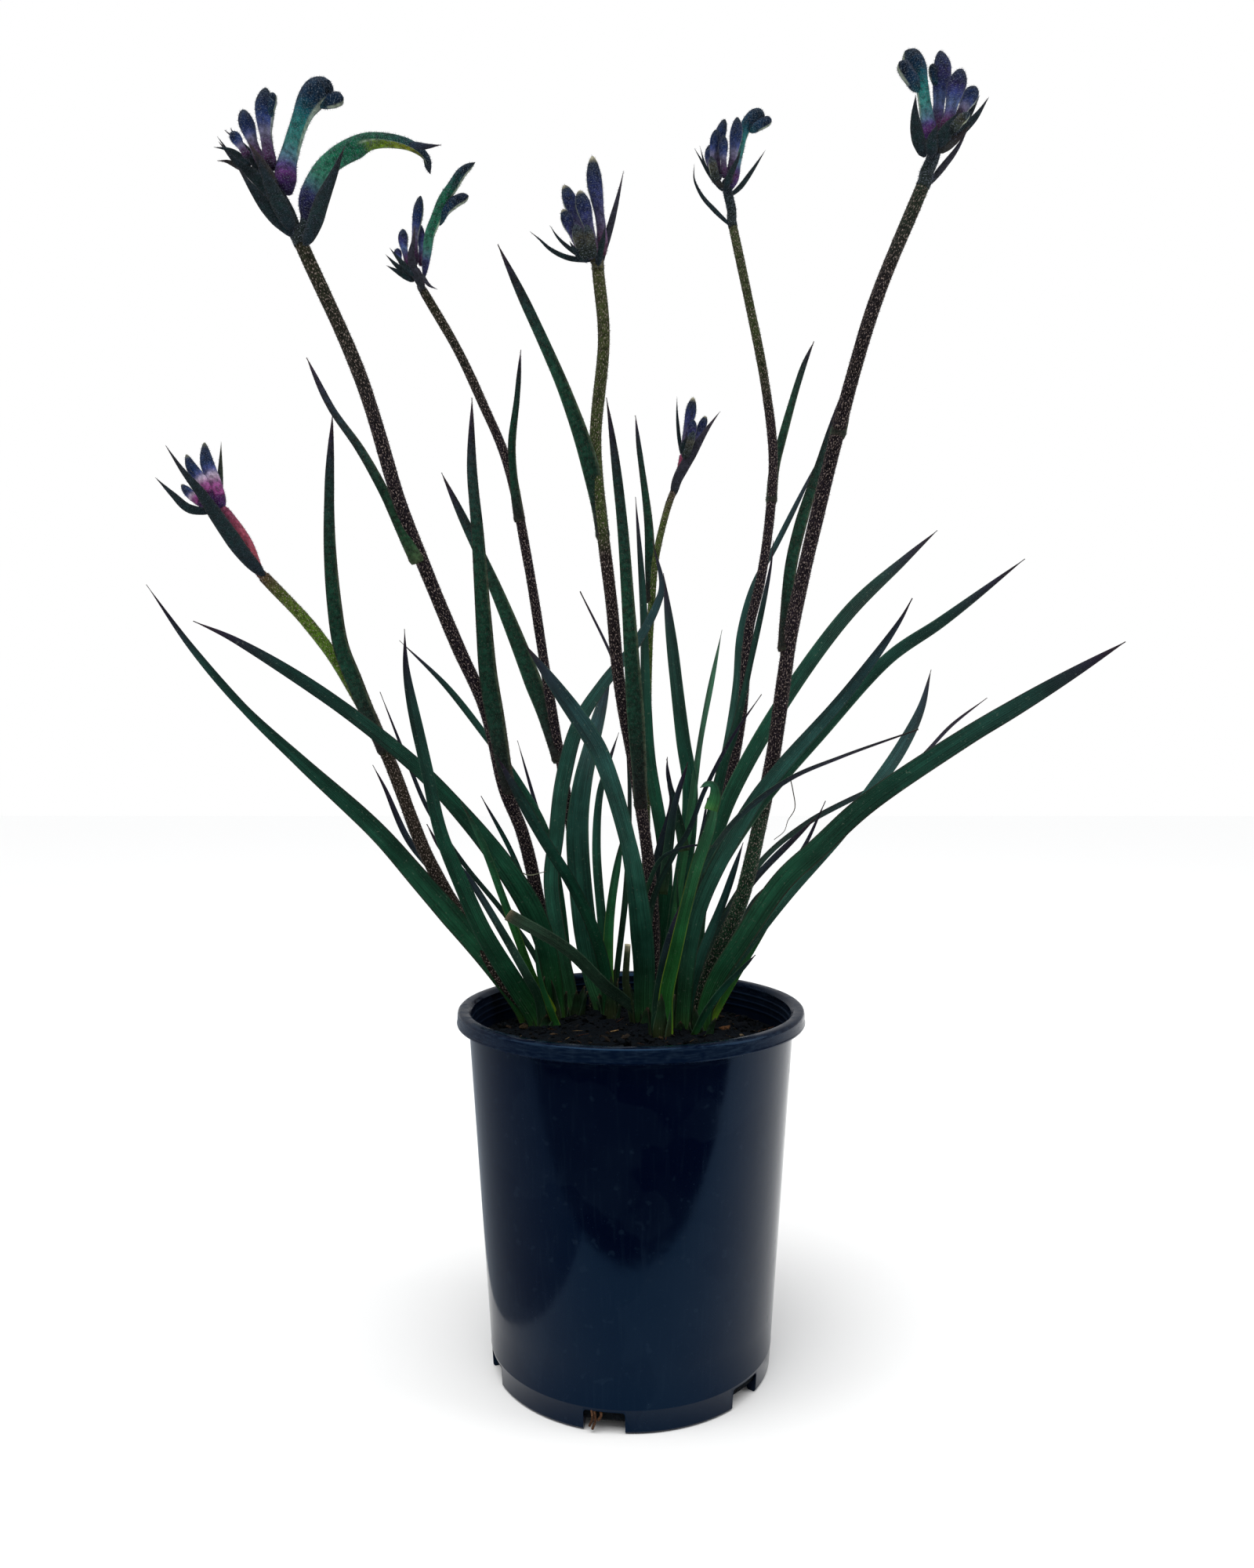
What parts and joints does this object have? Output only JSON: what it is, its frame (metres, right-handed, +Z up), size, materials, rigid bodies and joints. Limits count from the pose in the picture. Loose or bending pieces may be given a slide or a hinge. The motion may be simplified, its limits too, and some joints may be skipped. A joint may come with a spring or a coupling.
{
  "type": "potted kangaroo paw",
  "caption": "Kangaroo paw in flower: tall hairy scapes with hooked paw-like blooms above fans of sword-shaped leaves, in a round black plastic nursery pot.",
  "frame": {"origin": "middle of the pot's underside, on the floor", "axes": "+Z up along the pot, -Y towards the front of the plant, +X to its right seen from the front"},
  "size_m": [0.5445, 0.263, 0.762],
  "materials": {
    "pot": "worn gloss, black with a blue cast",
    "potting_mix": "moist crumbly potting mix with bark chips",
    "leaf": "fine-veined satin leaf, deep blue-green",
    "stem_brown": "hairy purple-brown stem with pale specks",
    "stem_green": "hairy green stem with pale specks",
    "flower_teal": "felted flower, teal with navy tip and purple foot",
    "flower_purple": "felted flower, navy tip with purple and magenta foot"
  },
  "bodies": {
    "root": {"pot": "pot", "potting_mix": "potting_mix", "flower_stem_1": "stem_brown", "flower_head_1": "flower_teal", "flower_stem_2": "stem_brown", "flower_head_2": "flower_teal", "flower_stem_3": "stem_green", "flower_head_3": "flower_purple", "flower_stem_4": "stem_brown", "flower_head_4": "flower_purple", "flower_stem_5": "stem_brown", "flower_head_5": "flower_teal", "flower_stem_6": "stem_green", "flower_head_6": "flower_purple", "flower_stem_7": "stem_green", "flower_head_7": "flower_purple", "leaf_fan_front": "leaf", "leaf_fan_right_front": "leaf", "leaf_fan_right": "leaf", "leaf_fan_right_back": "leaf", "leaf_fan_left_front": "leaf", "leaf_fan_left": "leaf", "leaf_fan_centre_left": "leaf", "leaf_fan_centre": "leaf", "leaf_fan_back_left": "leaf", "leaf_fan_centre_front": "leaf", "leaf_fan_back": "leaf", "leaf_fan_back_right": "leaf"}
  },
  "joints": []
}
